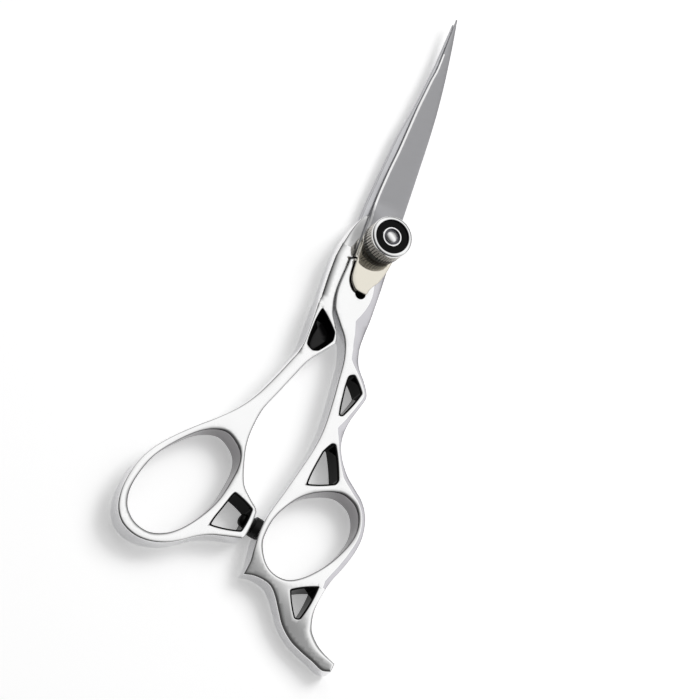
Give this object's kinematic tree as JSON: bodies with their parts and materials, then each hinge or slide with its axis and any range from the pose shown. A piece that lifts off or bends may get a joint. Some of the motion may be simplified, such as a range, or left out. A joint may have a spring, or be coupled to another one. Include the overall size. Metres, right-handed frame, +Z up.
{
  "type": "hair cutting shears",
  "caption": "Hair cutting shears with crossed blades, two finger rings, a tang, a turning tension adjuster and a rubber stop.",
  "frame": {"origin": "the pivot axis where it meets the plane that the shears lie on, at the middle of the screw head's outer face", "axes": "+Y towards the blade tips, +Z up out of the rest plane towards the adjuster, +X to the side of the finger ring"},
  "size_m": [0.0718, 0.1902, 0.0147],
  "materials": {
    "polished_steel": "mirror polished stainless steel",
    "satin_steel": "satin ground stainless steel",
    "washer_steel": "polished, slightly warm",
    "spring_steel": "plain spring steel",
    "brass": "machined",
    "black_lacquer": "glossy black lacquer",
    "knob_enamel": "glossy black enamel",
    "dark_recess": "dark satin",
    "rubber": "matt black rubber",
    "nylon": "low-friction plastic"
  },
  "bodies": {
    "finger_half": {"finger_blade": "satin_steel", "finger_handle": "polished_steel", "shank_window_lining": "black_lacquer", "ring_window_lining": "black_lacquer", "tang_window_lining": "black_lacquer", "slot_lining": "black_lacquer", "pivot_screw": "satin_steel", "glide_washer": "nylon", "tail_washer": "washer_steel", "click_plate": "spring_steel", "disc_spring": "spring_steel"},
    "thumb_half": {"thumb_blade": "satin_steel", "thumb_handle": "polished_steel", "pocket_enamel": "black_lacquer", "tab_window_lining": "black_lacquer", "rubber_stop": "rubber", "stop_stem": "rubber"},
    "adjuster": {"knob_barrel": "polished_steel", "knob_insert": "brass", "knob_enamel": "knob_enamel", "knob_inner_ring": "polished_steel", "knob_recess": "dark_recess", "knob_cap": "polished_steel"}
  },
  "joints": [
    {"name": "blade_pivot", "type": "hinge", "parent": "finger_half", "child": "thumb_half", "pos_m": [0, 0, 0], "axis": [0, 0, -1], "range_deg": [0, 55]},
    {"name": "adjuster_turn", "type": "hinge", "parent": "finger_half", "child": "adjuster", "pos_m": [0, 0, 0], "axis": [0, 0, 1], "range_deg": [-180, 180]}
  ]
}
